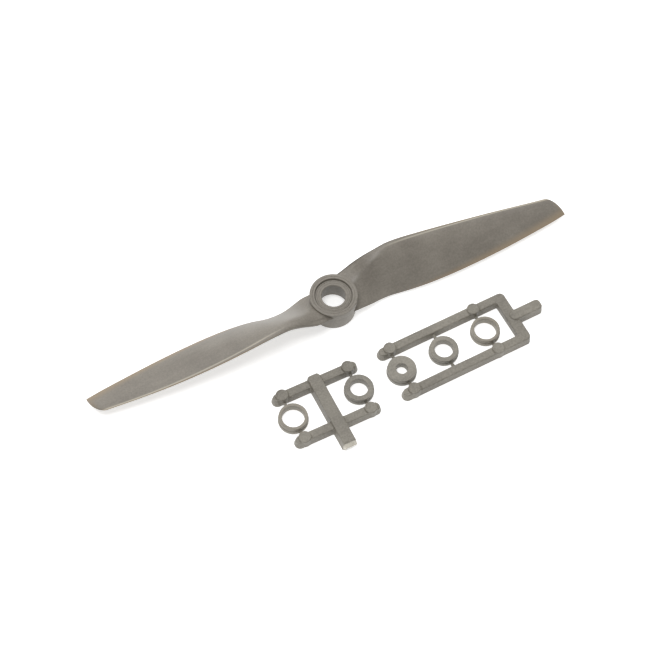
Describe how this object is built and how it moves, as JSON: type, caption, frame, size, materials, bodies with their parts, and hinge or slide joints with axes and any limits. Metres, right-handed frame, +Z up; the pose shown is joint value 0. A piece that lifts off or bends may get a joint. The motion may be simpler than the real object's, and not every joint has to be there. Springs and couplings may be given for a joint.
{
  "type": "propeller",
  "caption": "Moulded nylon propeller for an electric model aircraft, lying front face up beside its shaft adapter rings, which are still gated in their runner frames.",
  "frame": {"origin": "on the shaft bore's axis at the hub's rear face, which is the surface that everything lies on", "axes": "+X along the right-hand blade, +Z up the shaft's axis towards the front of the propeller, +Y away from the runner frames"},
  "size_m": [0.1396, 0.0456, 0.0114],
  "materials": {
    "propeller_nylon": "satin moulded",
    "runner_nylon": "satin moulded",
    "ring_nylon": "satin moulded"
  },
  "bodies": {
    "propeller": {"hub": "propeller_nylon", "blade_right": "propeller_nylon", "blade_left": "propeller_nylon"},
    "inch_frame": {"inch_spine": "runner_nylon", "inch_arm_far_left": "runner_nylon", "inch_arm_far_right": "runner_nylon", "inch_arm_near_left": "runner_nylon", "inch_arm_near_right": "runner_nylon"},
    "metric_frame": {"metric_runner_far": "runner_nylon", "metric_runner_near": "runner_nylon", "metric_end_runner": "runner_nylon", "metric_tail": "runner_nylon"},
    "ring_5_95mm": {"adapter_ring_5_95mm": "ring_nylon"},
    "ring_4_76mm": {"adapter_ring_4_76mm": "ring_nylon"},
    "ring_3mm": {"adapter_ring_3mm": "ring_nylon"},
    "ring_5mm": {"adapter_ring_5mm": "ring_nylon"},
    "ring_6mm": {"adapter_ring_6mm": "ring_nylon"}
  },
  "joints": [
    {"name": "inch_frame_lift", "type": "slide", "parent": "propeller", "child": "inch_frame", "axis": [0, 0, 1], "range_m": [0, 0.03]},
    {"name": "metric_frame_lift", "type": "slide", "parent": "propeller", "child": "metric_frame", "axis": [0, 0, 1], "range_m": [0, 0.03]},
    {"name": "ring_5_95mm_release", "type": "slide", "parent": "inch_frame", "child": "ring_5_95mm", "axis": [0, 0, 1], "range_m": [0, 0.012]},
    {"name": "ring_4_76mm_release", "type": "slide", "parent": "inch_frame", "child": "ring_4_76mm", "axis": [0, 0, 1], "range_m": [0, 0.012]},
    {"name": "ring_3mm_release", "type": "slide", "parent": "metric_frame", "child": "ring_3mm", "axis": [0, 0, 1], "range_m": [0, 0.012]},
    {"name": "ring_5mm_release", "type": "slide", "parent": "metric_frame", "child": "ring_5mm", "axis": [0, 0, 1], "range_m": [0, 0.012]},
    {"name": "ring_6mm_release", "type": "slide", "parent": "metric_frame", "child": "ring_6mm", "axis": [0, 0, 1], "range_m": [0, 0.012]}
  ]
}
